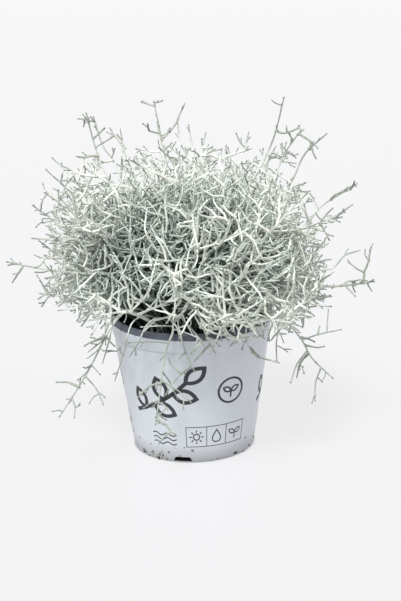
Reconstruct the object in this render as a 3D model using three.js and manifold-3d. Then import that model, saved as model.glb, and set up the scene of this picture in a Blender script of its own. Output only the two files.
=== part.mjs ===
// A cushion bush in its nursery pot: a tangle of silvery, wiry shoots that branch at wide angles, growing out
// of dark potting soil in a thin, tapered plastic pot with a notched foot. Millimetres, +Z up. The origin is
// on the pot's axis, on the surface that it stands on.
import * as THREE from "three";
import { mergeVertices } from "three/addons/utils/BufferGeometryUtils.js";
import Module from "manifold-3d";

const wasm = await Module();
wasm.setup();

// Driving dimensions
const pot = {
  height: 103,
  rimRadius: 60, // outside, at the top of the light wall
  footRadius: 44.5, // outside, where the pot stands
  wall: 1.1,
  sides: 40,
  collarHeight: 15, // the slightly wider band under the rim
  collarStep: 0.7,
  lipHeight: 5.2, // the dark lip, which leans in
  lipLean: 2.6,
  lipRound: 0.4,
  footRing: 2, // the ring that the pot stands on
  footRound: 0.5,
  footFlare: 1.6,
  floorLift: 3, // the middle of the floor above the surface
  gutterLift: 5, // the drained ring round it
  gutterInner: 35,
  gutterStep: 1.5,
};
// Notches in the foot: one wide and three small, three times round
const notches = {
  turns: 3,
  firstDeg: -101,
  taper: 1.8, // how much a notch narrows on each side towards its top
  deep: 5,
  shapes: [
    { atDeg: 0, width: 14.5, height: 4.4 },
    { atDeg: 33, width: 3.4, height: 1.7 },
    { atDeg: 53, width: 5.2, height: 3.4 },
    { atDeg: 76, width: 5.2, height: 3.4 },
  ],
};
const drains = { count: 6, firstDeg: 17, radius: 2.8, circle: 39.4, middleRadius: 5, sides: 8 };
const soil = { edge: 90.5, mound: 3.2, lump: 0.9, gap: 0.35, sink: 1, sides: 22, rings: [14, 29, 43] };
const fit = { stemGap: 0.35, holeSides: 8, clearance: 0.8, sample: 1.5 };

// The cushion that the twigs fill: an ellipsoid over the rim, flatter below its middle
const cushion = { middle: 125, acrossX: 116, acrossY: 112, up: 102, down: 44 };
const reach = { x: 133, y: 128, top: 258 };

// A stem stands straight in the soil, then curves to its tip
const stem = {
  depth: 9,
  clear: 3, // the straight stretch above the soil
  baseRadius: 1.35,
  tipRadius: 0.85,
  sides: 4,
  steps: 8,
  stretch: 0.42, // how far the ends of the arc keep their direction, as a share of its span
  trailerStretch: 0.65,
  wander: 2.2, // how far its points stray from the arc
};
// Root: distance from the axis, angle. Tip: distance, angle, height. Lean: from upright, at root and tip.
const shoots = [
  { kind: "crown", root: [9, 15], tip: [70, 2, 257], lean: [8, 14] },
  { kind: "crown", root: [10, 170], tip: [70, 184, 251], lean: [10, 6] },
  { kind: "crown", root: [13, 85], tip: [62, 112, 246], lean: [12, 8] },
  { kind: "crown", root: [9, 268], tip: [34, 262, 228], lean: [6, 18] },
  { kind: "shoulder", root: [25, 38], tip: [92, 44, 208], lean: [22, 42] },
  { kind: "shoulder", root: [27, 138], tip: [95, 141, 200], lean: [22, 46] },
  { kind: "shoulder", root: [26, 208], tip: [98, 214, 204], lean: [22, 40] },
  { kind: "shoulder", root: [26, 272], tip: [94, 276, 190], lean: [26, 50] },
  { kind: "shoulder", root: [26, 322], tip: [98, 328, 202], lean: [22, 44] },
  { kind: "skirt", root: [40, 4], tip: [133, 358, 122], lean: [38, 78] },
  { kind: "skirt", root: [39, 62], tip: [120, 58, 132], lean: [36, 80] },
  { kind: "skirt", root: [40, 108], tip: [128, 92, 140], lean: [36, 74] },
  { kind: "skirt", root: [40, 182], tip: [133, 176, 140], lean: [36, 78] },
  { kind: "skirt", root: [39, 240], tip: [116, 236, 130], lean: [38, 82] },
  { kind: "skirt", root: [40, 298], tip: [130, 281, 132], lean: [38, 80] },
  { kind: "trailer", root: [38, 222], tip: [108, 208, 42], lean: [22, 138] },
  { kind: "trailer", root: [39, 332], tip: [108, 338, 62], lean: [24, 132] },
  { kind: "trailer", root: [40, 262], tip: [94, 254, 50], lean: [12, 148] },
  { kind: "trailer", root: [38, 82], tip: [96, 74, 60], lean: [14, 146] },
];
// Branches leave a stem, and twigs leave a stem or branch, at wide angles, each a golden angle further round
const goldenAngle = Math.PI * (3 - Math.sqrt(5));
const forkDeg = { least: 42, most: 74 };
const branch = {
  perShoot: 6,
  from: 0.24, // the stretch of a stem that carries branches, as shares of its length
  to: 0.96,
  longest: 72,
  shortest: 34,
  trailing: 0.62, // branches of a trailer are this much shorter
  vary: [0.75, 1.1],
  radius: 0.92,
  tipRadius: 0.8,
  sides: 3,
  steps: 2,
  bend: 0.7, // out of the cushion
  lift: 0.35, // towards the light
};
const twig = { spacing: 17.5, longest: 34, shortest: 15, radius: 0.72, budRadius: 0.95, budLength: 2.4 };
// The short twigs of a sprig that stands out of the cushion
const spur = { longest: 11, shortest: 6 };
const tries = { stem: 40, branch: 14, twig: 10 };
// Near its own fork, a branch or twig may touch what it grows from
const forkLength = { branch: 5, twig: 4 };
const seed = 20417;

// A small seeded generator, so that the bush grows the same way each time
function makeRandom(start) {
  let state = start >>> 0;
  return () => {
    state = (state + 0x6d2b79f5) >>> 0;
    let t = Math.imul(state ^ (state >>> 15), 1 | state);
    t = (t + Math.imul(t ^ (t >>> 7), 61 | t)) ^ t;
    return ((t ^ (t >>> 14)) >>> 0) / 4294967296;
  };
}
const random = makeRandom(seed);
const between = (low, high) => low + (high - low) * random();
const radians = THREE.MathUtils.degToRad;

// Solids and booleans
function toSolid(geometry) {
  geometry.deleteAttribute("normal");
  geometry.deleteAttribute("uv");
  const merged = mergeVertices(geometry, 1e-4);
  const mesh = new wasm.Mesh({
    numProp: 3,
    vertProperties: new Float32Array(merged.attributes.position.array),
    triVerts: new Uint32Array(merged.index.array),
  });
  return new wasm.Manifold(mesh);
}
function toGeometry(solid) {
  const mesh = solid.getMesh();
  const geometry = new THREE.BufferGeometry();
  geometry.setAttribute("position", new THREE.BufferAttribute(mesh.vertProperties, mesh.numProp));
  geometry.setIndex(new THREE.BufferAttribute(mesh.triVerts, 1));
  geometry.computeVertexNormals();
  return geometry;
}
function meshOf(points, faces) {
  const geometry = new THREE.BufferGeometry();
  geometry.setAttribute("position", new THREE.Float32BufferAttribute(points, 3));
  geometry.setIndex(faces);
  return geometry;
}

// The pot's outline, from the middle of its underside, up the outside and down the inside
const slope = (pot.rimRadius - pot.footRadius) / pot.height;
const outerRadius = (z) => pot.footRadius + slope * z;
const innerRadius = (z) => outerRadius(z) - pot.wall;
const gutterFloor = pot.gutterLift + pot.wall;
function potSolid() {
  const collar = pot.height - pot.collarHeight;
  const lip = pot.height - pot.lipHeight;
  const gutterOuter = pot.footRadius - pot.footRing;
  const rim = pot.rimRadius - pot.lipLean;
  const outline = [
    [0, pot.floorLift],
    [pot.gutterInner, pot.floorLift],
    [pot.gutterInner + pot.gutterStep, pot.gutterLift],
    [gutterOuter, pot.gutterLift],
    [gutterOuter, 0],
    [pot.footRadius - pot.footRound, 0],
    [outerRadius(pot.footFlare), pot.footFlare],
    [outerRadius(collar) - pot.collarStep, collar],
    [outerRadius(collar + 1), collar + 1],
    [outerRadius(lip), lip],
    [rim + pot.lipRound, pot.height - pot.lipRound],
    [rim - pot.wall / 2, pot.height],
    [rim - pot.wall, pot.height - pot.lipRound],
    [innerRadius(lip), lip],
    [innerRadius(collar) - pot.collarStep, collar],
    [innerRadius(gutterFloor), gutterFloor],
    [pot.gutterInner + pot.gutterStep - pot.wall / 2, gutterFloor],
    [pot.gutterInner - pot.wall / 2, pot.floorLift + pot.wall],
    [0, pot.floorLift + pot.wall],
  ].map(([radius, z]) => new THREE.Vector2(radius, z));
  const turned = new THREE.LatheGeometry(outline, pot.sides);
  turned.rotateX(Math.PI / 2);
  let solid = toSolid(turned);
  for (let i = 0; i < notches.turns; i++) {
    for (const notch of notches.shapes) {
      const at = radians(notches.firstDeg + notch.atDeg + (i * 360) / notches.turns);
      solid = solid.subtract(toSolid(notchCutter(notch, at)));
    }
  }
  const top = gutterFloor + 1;
  for (let i = 0; i < drains.count; i++) {
    const at = radians((i * 360) / drains.count + drains.firstDeg);
    const x = drains.circle * Math.cos(at);
    const y = drains.circle * Math.sin(at);
    solid = solid.subtract(toSolid(post(x, y, drains.radius, -1, top, drains.sides)));
  }
  return solid.subtract(toSolid(post(0, 0, drains.middleRadius, -1, top, drains.sides)));
}
// A notch is narrower at its top, and cuts only the foot's ring
function notchCutter(notch, at) {
  const half = notch.width / 2;
  const narrow = half - Math.min(notches.taper, half / 2);
  const shape = new THREE.Shape();
  shape.moveTo(-half, -1);
  shape.lineTo(half, -1);
  shape.lineTo(half, 0);
  shape.lineTo(narrow, notch.height);
  shape.lineTo(-narrow, notch.height);
  shape.lineTo(-half, 0);
  const cut = new THREE.ExtrudeGeometry(shape, { depth: 2 * notches.deep, bevelEnabled: false });
  cut.rotateX(Math.PI / 2);
  cut.rotateZ(Math.PI / 2);
  cut.translate(pot.footRadius - pot.footRing / 2 - notches.deep, 0, 0);
  cut.rotateZ(at);
  return cut;
}
function post(x, y, radius, low, high, sides) {
  const cylinder = new THREE.CylinderGeometry(radius, radius, high - low, sides);
  cylinder.rotateX(Math.PI / 2);
  cylinder.translate(x, y, (low + high) / 2);
  return cylinder;
}

// Soil fills the pot from its floor to a lumpy mound under the rim
function soilHeight(x, y) {
  const r = Math.hypot(x, y) / pot.rimRadius;
  const fine = Math.sin(x * 0.31 + 1.3) * Math.cos(y * 0.27 - 0.6);
  const broad = 0.6 * Math.sin(x * 0.13 - y * 0.34 + 2.1);
  return soil.edge + soil.mound * (1 - r * r) + soil.lump * (fine + broad);
}
function soilSolid(roots) {
  const points = [];
  const faces = [];
  const ring = (radius, height) => {
    const first = points.length / 3;
    for (let i = 0; i < soil.sides; i++) {
      const a = (i * 2 * Math.PI) / soil.sides;
      const x = radius * Math.cos(a);
      const y = radius * Math.sin(a);
      points.push(x, y, typeof height === "function" ? height(x, y) : height);
    }
    return first;
  };
  const skin = (below, above) => {
    for (let i = 0; i < soil.sides; i++) {
      const j = (i + 1) % soil.sides;
      faces.push(below + i, below + j, above + j, below + i, above + j, above + i);
    }
  };
  // Inside the flat sides of the wall, which the collar's step narrows
  const within = (z) => innerRadius(z) * Math.cos(Math.PI / pot.sides) - pot.collarStep - soil.gap;
  const floor = gutterFloor + soil.gap;
  const bottom = ring(within(floor), floor);
  const edge = ring(within(soil.edge - soil.sink), (x, y) => soilHeight(x, y) - soil.sink);
  skin(bottom, edge);
  let last = edge;
  for (const r of [...soil.rings].reverse()) {
    const next = ring(r, soilHeight);
    skin(last, next);
    last = next;
  }
  const top = points.length / 3;
  points.push(0, 0, soilHeight(0, 0));
  const under = top + 1;
  points.push(0, 0, floor);
  for (let i = 0; i < soil.sides; i++) {
    const j = (i + 1) % soil.sides;
    faces.push(last + i, last + j, top);
    faces.push(bottom + j, bottom + i, under);
  }
  let solid = toSolid(meshOf(points, faces));
  const holeRadius = (stem.baseRadius + fit.stemGap) / Math.cos(Math.PI / fit.holeSides);
  for (const p of roots) {
    solid = solid.subtract(toSolid(post(p.x, p.y, holeRadius, p.z - fit.stemGap, pot.height, fit.holeSides)));
  }
  return solid;
}

// What grows keeps clear of the pot, the soil and every stem and twig grown before it
const grown = [];
function remember(path, radius, node) {
  for (let i = 1; i < path.length; i++) {
    grown.push({ from: path[i - 1], to: path[i], radius, node });
  }
}
function distanceTo(p, s) {
  const along = s.to.clone().sub(s.from);
  const t = THREE.MathUtils.clamp(p.clone().sub(s.from).dot(along) / along.lengthSq(), 0, 1);
  return p.distanceTo(s.from.clone().addScaledVector(along, t));
}
function hitsPot(p, margin) {
  const r = Math.hypot(p.x, p.y);
  if (p.z > pot.height + margin) return false;
  if (p.z < margin) return true;
  if (r > outerRadius(p.z) + margin) return false;
  return r > innerRadius(p.z) - pot.lipLean - margin || p.z < soilHeight(p.x, p.y) + margin;
}
function pastReach(p) {
  return Math.abs(p.x) > reach.x || Math.abs(p.y) > reach.y || p.z > reach.top;
}
function outside(p) {
  const tall = p.z > cushion.middle ? cushion.up : cushion.down;
  const x = p.x / cushion.acrossX;
  const y = p.y / cushion.acrossY;
  const z = (p.z - cushion.middle) / tall;
  return x * x + y * y + z * z > 1;
}
// How much room a path has: negative where it touches something
function room(path, radius, node, own) {
  let least = Infinity;
  let walked = 0;
  for (let i = 1; i < path.length; i++) {
    const length = path[i].distanceTo(path[i - 1]);
    const parts = Math.ceil(length / fit.sample);
    for (let k = 1; k <= parts; k++) {
      const p = path[i - 1].clone().lerp(path[i], k / parts);
      walked += length / parts;
      if (hitsPot(p, radius + fit.clearance)) return -1;
      for (const s of grown) {
        if (s.node === node && walked < own) continue;
        least = Math.min(least, distanceTo(p, s) - radius - s.radius - fit.clearance);
        if (least < 0) return least;
      }
    }
  }
  return least;
}

const direction = (lean, turn) =>
  new THREE.Vector3(Math.sin(lean) * Math.cos(turn), Math.sin(lean) * Math.sin(turn), Math.cos(lean));

function stemPath(shoot, wander) {
  const rootTurn = radians(shoot.root[1]);
  const tipTurn = radians(shoot.tip[1]);
  const x = shoot.root[0] * Math.cos(rootTurn);
  const y = shoot.root[0] * Math.sin(rootTurn);
  const top = soilHeight(x, y);
  const root = new THREE.Vector3(x, y, top - stem.depth);
  const start = new THREE.Vector3(x, y, top + stem.clear);
  const tip = new THREE.Vector3(
    shoot.tip[0] * Math.cos(tipTurn),
    shoot.tip[0] * Math.sin(tipTurn),
    shoot.tip[2]
  );
  const pull = start.distanceTo(tip) * (shoot.kind === "trailer" ? stem.trailerStretch : stem.stretch);
  const leave = start.clone().addScaledVector(direction(radians(shoot.lean[0]), rootTurn), pull);
  const arrive = tip.clone().addScaledVector(direction(radians(shoot.lean[1]), tipTurn), -pull);
  const curve = new THREE.CubicBezierCurve3(start, leave, arrive, tip);
  const path = [root, start];
  for (let i = 1; i < stem.steps; i++) {
    const p = curve.getPoint(i / stem.steps);
    p.x += between(-wander, wander);
    p.y += between(-wander, wander);
    p.z += between(-wander, wander) / 2;
    path.push(p);
  }
  path.push(tip);
  return path;
}
// Where along a path, and which way it runs there
function along(path, share) {
  const lengths = [0];
  for (let i = 1; i < path.length; i++) lengths.push(lengths[i - 1] + path[i].distanceTo(path[i - 1]));
  const at = share * lengths[path.length - 1];
  let i = 1;
  while (i < path.length - 1 && lengths[i] < at) i++;
  const t = (at - lengths[i - 1]) / (lengths[i] - lengths[i - 1]);
  return {
    point: path[i - 1].clone().lerp(path[i], t),
    way: path[i].clone().sub(path[i - 1]).normalize(),
    length: lengths[path.length - 1],
  };
}
function fork(way, angle, turn) {
  const side = Math.abs(way.z) < 0.9 ? new THREE.Vector3(0, 0, 1) : new THREE.Vector3(1, 0, 0);
  const a = side.clone().cross(way).normalize();
  const b = way.clone().cross(a);
  return way
    .clone()
    .multiplyScalar(Math.cos(angle))
    .addScaledVector(a, Math.sin(angle) * Math.cos(turn))
    .addScaledVector(b, Math.sin(angle) * Math.sin(turn));
}
// A branch bends out of the cushion and a little towards the light
function bentPath(point, way, length) {
  const out = new THREE.Vector3(point.x, point.y, point.z - cushion.middle).normalize();
  out.z += branch.lift;
  const path = [point.clone()];
  for (let i = 0; i < branch.steps; i++) {
    const d = way.clone().addScaledVector(out, (branch.bend * i) / branch.steps).normalize();
    path.push(path[i].clone().addScaledVector(d, length / branch.steps));
  }
  return path;
}
// The roomiest of a few tries, or nothing
function bestOf(count, radius, node, own, attempt) {
  let best = null;
  let most = 0;
  for (let i = 0; i < count; i++) {
    const path = attempt(i);
    if (!path || pastReach(path[path.length - 1])) continue;
    const space = room(path, radius, node, own);
    if (space > most) {
      most = space;
      best = path;
    }
  }
  return best;
}

const forkAngle = () => radians(between(forkDeg.least, forkDeg.most));
// Stems first, then branches in turn on each of them, so that the room is shared, then twigs
function growBush() {
  const plants = shoots.map((shoot, node) => growStem(shoot, node));
  for (let i = 0; i < branch.perShoot; i++) {
    for (const plant of plants) growBranch(plant, i);
  }
  for (const plant of plants) {
    [plant.stem.slice(3), ...plant.branches].forEach((host, index) => growTwigs(plant, host, index));
  }
  return plants;
}
function growStem(shoot, node) {
  for (let i = 0; i < tries.stem; i++) {
    const path = stemPath(shoot, stem.wander + i * 0.1);
    if (room(path.slice(1), stem.baseRadius, node, Infinity) < 0) continue;
    remember(path, stem.baseRadius, node);
    return { node, trailing: shoot.kind === "trailer", stem: path, branches: [], twigs: [] };
  }
  throw new Error("no room for shoot " + node);
}
function growBranch(plant, i) {
  const share = branch.from + ((branch.to - branch.from) * (i + between(0.1, 0.9))) / branch.perShoot;
  const { point, way } = along(plant.stem, share);
  const full = THREE.MathUtils.lerp(branch.longest, branch.shortest, share);
  const length = full * (plant.trailing ? branch.trailing : 1);
  const turn = i * goldenAngle + plant.node;
  const path = bestOf(tries.branch, branch.radius, plant.node, forkLength.branch, (k) => {
    const way2 = fork(way, forkAngle(), turn + between(-1.4, 1.4) + k * 0.4);
    const bent = bentPath(point, way2, length * between(...branch.vary));
    return !plant.trailing && outside(bent[branch.steps]) ? null : bent;
  });
  if (!path) return;
  remember(path, branch.radius, plant.node);
  plant.branches.push(path);
}
function growTwigs(plant, host, index) {
  const count = Math.floor(along(host, 1).length / twig.spacing);
  for (let i = 0; i < count; i++) {
    const { point, way } = along(host, (i + between(0.35, 0.85)) / count);
    const turn = i * goldenAngle + index;
    const path = bestOf(tries.twig, twig.budRadius, plant.node, forkLength.twig, (k) => {
      const way2 = fork(way, forkAngle(), turn + between(-1, 1) + k * 0.6);
      const end = point.clone().addScaledVector(way2, between(twig.shortest, twig.longest));
      if (outside(end)) end.copy(point).addScaledVector(way2, between(spur.shortest, spur.longest));
      return [point.clone(), end];
    });
    if (!path) continue;
    remember(path, twig.budRadius, plant.node);
    plant.twigs.push(path);
  }
}

// A tube along a path, with one radius for each point and a pointed bud at its end
function tube(path, radii, sides) {
  const points = [];
  const faces = [];
  const last = path.length - 1;
  const wayAt = (i) => path[Math.min(i + 1, last)].clone().sub(path[Math.max(i - 1, 0)]).normalize();
  let side = new THREE.Vector3(0.4, 0.6, 0.7).cross(wayAt(0)).normalize();
  for (let i = 0; i <= last; i++) {
    const way = wayAt(i);
    side = side.clone().addScaledVector(way, -side.dot(way)).normalize();
    const other = way.clone().cross(side);
    for (let k = 0; k < sides; k++) {
      const turn = (k * 2 * Math.PI) / sides;
      const p = path[i].clone().addScaledVector(side, Math.cos(turn) * radii[i]);
      p.addScaledVector(other, Math.sin(turn) * radii[i]);
      points.push(p.x, p.y, p.z);
    }
  }
  const tip = path[last].clone().addScaledVector(wayAt(last), twig.budLength);
  points.push(...path[0].toArray(), ...tip.toArray());
  const bottom = (last + 1) * sides;
  for (let k = 0; k < sides; k++) {
    const j = (k + 1) % sides;
    for (let i = 0; i < last; i++) {
      const a = i * sides;
      const b = a + sides;
      faces.push(a + k, a + j, b + j, a + k, b + j, b + k);
    }
    faces.push(k, bottom, j);
    faces.push(last * sides + k, last * sides + j, bottom + 1);
  }
  return toSolid(meshOf(points, faces));
}
function taper(path, from, to) {
  return path.map((_, i) => THREE.MathUtils.lerp(from, to, i / (path.length - 1)));
}
function shootSolid(plant) {
  const pieces = [tube(plant.stem, taper(plant.stem, stem.baseRadius, stem.tipRadius), stem.sides)];
  for (const path of plant.branches) {
    pieces.push(tube(path, taper(path, branch.radius, branch.tipRadius), branch.sides));
  }
  for (const path of plant.twigs) {
    pieces.push(tube(path, [twig.radius, twig.budRadius], branch.sides));
  }
  return wasm.Manifold.union(pieces);
}

// Assembly
function finish(name, color, roughness) {
  return new THREE.MeshStandardMaterial({ name, color, roughness, metalness: 0 });
}
const finishes = {
  plastic: finish("pot_plastic", 0xd3d8e2, 0.38),
  soil: finish("potting_soil", 0x1d1815, 0.95),
  shoot: finish("silver_shoot", 0xc2cdc2, 0.85),
};
const bush = new THREE.Group();
function add(name, solid, material) {
  const mesh = new THREE.Mesh(toGeometry(solid), material);
  mesh.name = name;
  bush.add(mesh);
}
const plants = growBush();
add("pot", potSolid(), finishes.plastic);
add("soil", soilSolid(plants.map((p) => p.stem[0])), finishes.soil);
for (const plant of plants) {
  add(`shoot_${String(plant.node + 1).padStart(2, "0")}`, shootSolid(plant), finishes.shoot);
}

export default bush;
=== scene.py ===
import math
import random

import bmesh
import bpy
import numpy as np
from mathutils import Matrix, Vector, noise


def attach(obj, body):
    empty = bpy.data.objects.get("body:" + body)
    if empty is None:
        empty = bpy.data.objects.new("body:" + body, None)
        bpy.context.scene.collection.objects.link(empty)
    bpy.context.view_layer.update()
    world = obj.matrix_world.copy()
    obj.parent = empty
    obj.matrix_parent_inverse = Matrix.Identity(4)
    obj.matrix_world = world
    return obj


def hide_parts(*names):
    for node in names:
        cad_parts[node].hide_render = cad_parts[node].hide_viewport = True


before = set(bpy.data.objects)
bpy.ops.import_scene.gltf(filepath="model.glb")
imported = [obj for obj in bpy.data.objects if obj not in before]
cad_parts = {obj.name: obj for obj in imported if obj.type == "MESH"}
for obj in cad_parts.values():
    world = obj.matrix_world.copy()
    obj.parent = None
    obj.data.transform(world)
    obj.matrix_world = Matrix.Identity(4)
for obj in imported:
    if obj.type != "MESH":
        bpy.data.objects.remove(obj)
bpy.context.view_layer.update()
print("frame loaded:", len(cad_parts), "nodes")

# Shapes are worked out in millimetres and turned to metres when a mesh is made
mm = 0.001
goldenAngle = math.pi * (3 - math.sqrt(5))


# Small tools

def linear(hexColor, alpha=1.0):
    # sRGB hex to the linear colour that shaders take
    parts = [int(hexColor[i:i + 2], 16) / 255 for i in (1, 3, 5)]
    return [c / 12.92 if c <= 0.04045 else ((c + 0.055) / 1.055) ** 2.4 for c in parts] + [alpha]


def socketOf(sockets, key):
    usable = [s for s in sockets if s.enabled]
    return usable[key] if isinstance(key, int) else next(s for s in usable if s.name == key)


def addNode(tree, kind, inputs=None, **settings):
    # A node with its settings; an input is a value, a socket, or a node whose first output feeds it
    node = tree.nodes.new(kind)
    for name, value in settings.items():
        setattr(node, name, value)
    for key, value in (inputs or {}).items():
        socket = socketOf(node.inputs, key)
        if isinstance(value, bpy.types.Node):
            value = out(value)
        if isinstance(value, bpy.types.NodeSocket):
            tree.links.new(value, socket)
        else:
            socket.default_value = value
    return node


def out(node, key=0):
    return socketOf(node.outputs, key)


def newMaterial(name, values):
    # Even values go on the shader's own sockets; patterns are laid by the place on the object
    material = bpy.data.materials.new(name)
    material.use_nodes = True
    tree = material.node_tree
    shader = tree.nodes["Principled BSDF"]
    for key, value in values.items():
        shader.inputs[key].default_value = value
    return material, tree, shader, out(addNode(tree, "ShaderNodeTexCoord"), "Object")


def placeObject(name, data):
    thing = bpy.data.objects.new(name, data)
    bpy.context.scene.collection.objects.link(thing)
    return thing


def meshObject(name, points, faces, materials, smooth=True, edges=()):
    mesh = bpy.data.meshes.new(name)
    mesh.from_pydata((np.asarray(points, float) * mm).tolist(), edges, faces)
    mesh.update()
    for material in materials:
        mesh.materials.append(material)
    mesh.polygons.foreach_set("use_smooth", [smooth] * len(mesh.polygons))
    return placeObject(name, mesh)


def storeFloats(mesh, name, values):
    mesh.attributes.new(name, "FLOAT", "POINT").data.foreach_set("value", np.asarray(values, np.float32))


def newTree(name, inputs):
    tree = bpy.data.node_groups.new(name, "GeometryNodeTree")
    tree.interface.new_socket(name="Geometry", in_out="INPUT", socket_type="NodeSocketGeometry")
    for label, kind in inputs.items():
        tree.interface.new_socket(name=label, in_out="INPUT", socket_type="NodeSocket" + kind)
    tree.interface.new_socket(name="Geometry", in_out="OUTPUT", socket_type="NodeSocketGeometry")
    return tree, tree.nodes.new("NodeGroupInput"), tree.nodes.new("NodeGroupOutput")


def keepResult(piece, modifier):
    # The evaluated shape becomes the piece's own plain mesh
    bpy.context.view_layer.update()
    baked = bpy.data.meshes.new_from_object(piece.evaluated_get(bpy.context.evaluated_depsgraph_get()))
    piece.modifiers.remove(modifier)
    piece.data = baked


def bakeTree(piece, tree, values):
    modifier = piece.modifiers.new(tree.name, "NODES")
    modifier.node_group = tree
    for item in tree.interface.items_tree:
        if item.in_out == "INPUT" and item.name in values:
            modifier[item.identifier] = values[item.name]
    keepResult(piece, modifier)


def dropObject(thing):
    bpy.data.objects.remove(thing, do_unlink=True)


# Camera: a long lens about 17 degrees above the rim, turned a little

cameraPlan = dict(elevation=17.4, distance=1300, roll=-1.5, aim=(7.3, 0.0, 109.6), focalPixels=1771, imageHeight=601)


def makeCamera(plan):
    lift = math.radians(plan["elevation"])
    roll = math.radians(plan["roll"])
    back = Vector((0, -math.cos(lift), math.sin(lift)))
    across = Vector((1, 0, 0))
    upward = back.cross(across)
    right = across * math.cos(roll) + upward * math.sin(roll)
    top = upward * math.cos(roll) - across * math.sin(roll)
    data = bpy.data.cameras.new("photoCamera")
    data.sensor_width = 36
    data.lens = plan["focalPixels"] / plan["imageHeight"] * data.sensor_width
    data.clip_end = 50
    camera = placeObject("photoCamera", data)
    place = Vector(plan["aim"]) + back * plan["distance"]
    camera.matrix_world = Matrix.Translation(place * mm) @ Matrix((right, top, back)).transposed().to_4x4()
    bpy.context.scene.camera = camera


makeCamera(cameraPlan)
print("camera made")


# Materials

def potSkinMaterial(name, hexColor, roughness, footDustAndShade):
    # Thin moulded polypropylene: satin, a little orange peel, and darker towards the foot: soil dust in patches over
    # painted shade near the floor, both thinning out above the foot
    material, tree, shader, place = newMaterial(name, {"Roughness": roughness, "IOR": 1.49})
    cloud = addNode(tree, "ShaderNodeTexNoise", {"Vector": place, "Scale": 1 / (34 * mm), "Detail": 3.0})
    darker = [c * 0.9 for c in linear(hexColor)[:3]] + [1]
    color = addNode(tree, "ShaderNodeMix", {"Factor": cloud, "A": linear(hexColor), "B": darker}, data_type="RGBA")
    if footDustAndShade:
        height = out(addNode(tree, "ShaderNodeSeparateXYZ", {0: place}), "Z")
        low = addNode(tree, "ShaderNodeMapRange", {"Value": height, "From Min": 14 * mm, "From Max": 1 * mm})
        grit = addNode(tree, "ShaderNodeTexNoise", {"Vector": place, "Scale": 1 / (3.2 * mm), "Detail": 6.0,
                                                   "Roughness": 0.75})
        patch = addNode(tree, "ShaderNodeMapRange", {"Value": grit, "From Min": 0.58, "From Max": 0.8})
        # Painted shade: near the foot the colour goes more than half way to the dust colour even between the dust
        # patches
        shadeAndDustPatches = addNode(tree, "ShaderNodeMapRange", {"Value": patch, "To Min": 0.55, "To Max": 1.0})
        dustAndShadeMask = addNode(tree, "ShaderNodeMath", {0: low, 1: shadeAndDustPatches}, operation="MULTIPLY")
        color = addNode(tree, "ShaderNodeMix", {"Factor": dustAndShadeMask, "A": color, "B": linear("#6d6a68")}, data_type="RGBA")
    tree.links.new(out(color), shader.inputs["Base Color"])
    peel = addNode(tree, "ShaderNodeTexNoise", {"Vector": place, "Scale": 1 / (2.4 * mm), "Detail": 2.0})
    bump = addNode(tree, "ShaderNodeBump", {"Height": peel, "Strength": 0.06, "Distance": 0.2 * mm})
    tree.links.new(out(bump), shader.inputs["Normal"])
    return material


def inkMaterial():
    # Screen-printed ink, matt, worn thin in tiny spots
    material, tree, shader, place = newMaterial("screen printed ink", {"Roughness": 0.5})
    wear = addNode(tree, "ShaderNodeTexNoise", {"Vector": place, "Scale": 1 / (1.1 * mm), "Detail": 4.0})
    spots = addNode(tree, "ShaderNodeMapRange", {"Value": wear, "From Min": 0.66, "From Max": 0.8})
    tone = addNode(tree, "ShaderNodeMix", {"Factor": spots, "A": linear("#2b2e35"), "B": linear("#8c919c")},
                   data_type="RGBA")
    tree.links.new(out(tone), shader.inputs["Base Color"])
    return material


def peatMaterial(name, darkHex, lightHex, grain):
    # Damp peat: nearly black, crumbly, browner where it has dried
    material, tree, shader, place = newMaterial(name, {"Roughness": 0.93})
    clods = addNode(tree, "ShaderNodeTexNoise", {"Vector": place, "Scale": 1 / (grain * mm), "Detail": 8.0,
                                                "Roughness": 0.7})
    dry = addNode(tree, "ShaderNodeMapRange", {"Value": clods, "From Min": 0.42, "From Max": 0.75})
    tone = addNode(tree, "ShaderNodeMix", {"Factor": dry, "A": linear(darkHex), "B": linear(lightHex)},
                   data_type="RGBA")
    tree.links.new(out(tone), shader.inputs["Base Color"])
    bump = addNode(tree, "ShaderNodeBump", {"Height": clods, "Strength": 0.8, "Distance": 0.6 * mm})
    tree.links.new(out(bump), shader.inputs["Normal"])
    return material


# Stem colours: the inner green is partly painted shade deep in the bush, and the olive-grey is partly painted shade on
# the outermost canes
shootTones = dict(inner="#4c6052", outer="#ebf3eb", cream="#e8e2d7", oliveTipsAndSkinShade="#9aa297")


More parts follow.
